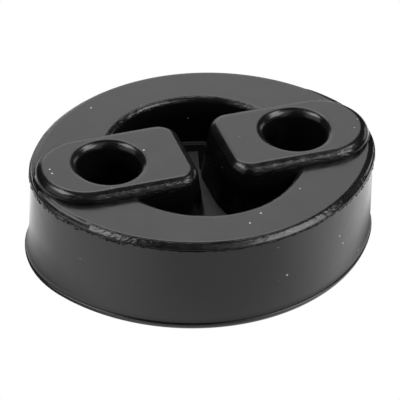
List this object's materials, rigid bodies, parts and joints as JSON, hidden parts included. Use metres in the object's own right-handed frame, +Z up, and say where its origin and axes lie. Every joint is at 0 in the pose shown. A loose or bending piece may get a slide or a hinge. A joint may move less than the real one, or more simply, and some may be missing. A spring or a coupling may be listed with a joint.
{
  "type": "exhaust hanger rubber",
  "caption": "Moulded rubber exhaust hanger: an oval ring with a lipped foot and two bored bosses that face each other across a round opening.",
  "frame": {"origin": "under the middle of the part, half way between the two bores, on the plane that the bosses stand on", "axes": "+X from one bore to the other, along the oval's length; +Y across the oval; +Z up along the bores"},
  "size_m": [0.0698, 0.0576, 0.0242],
  "materials": {
    "black_rubber": "matt to satin black moulded rubber, a little smoother on the rounded edges, with torn mould flash round the rim"
  },
  "bodies": {
    "root": {"hanger_rubber": "black_rubber"}
  },
  "joints": []
}
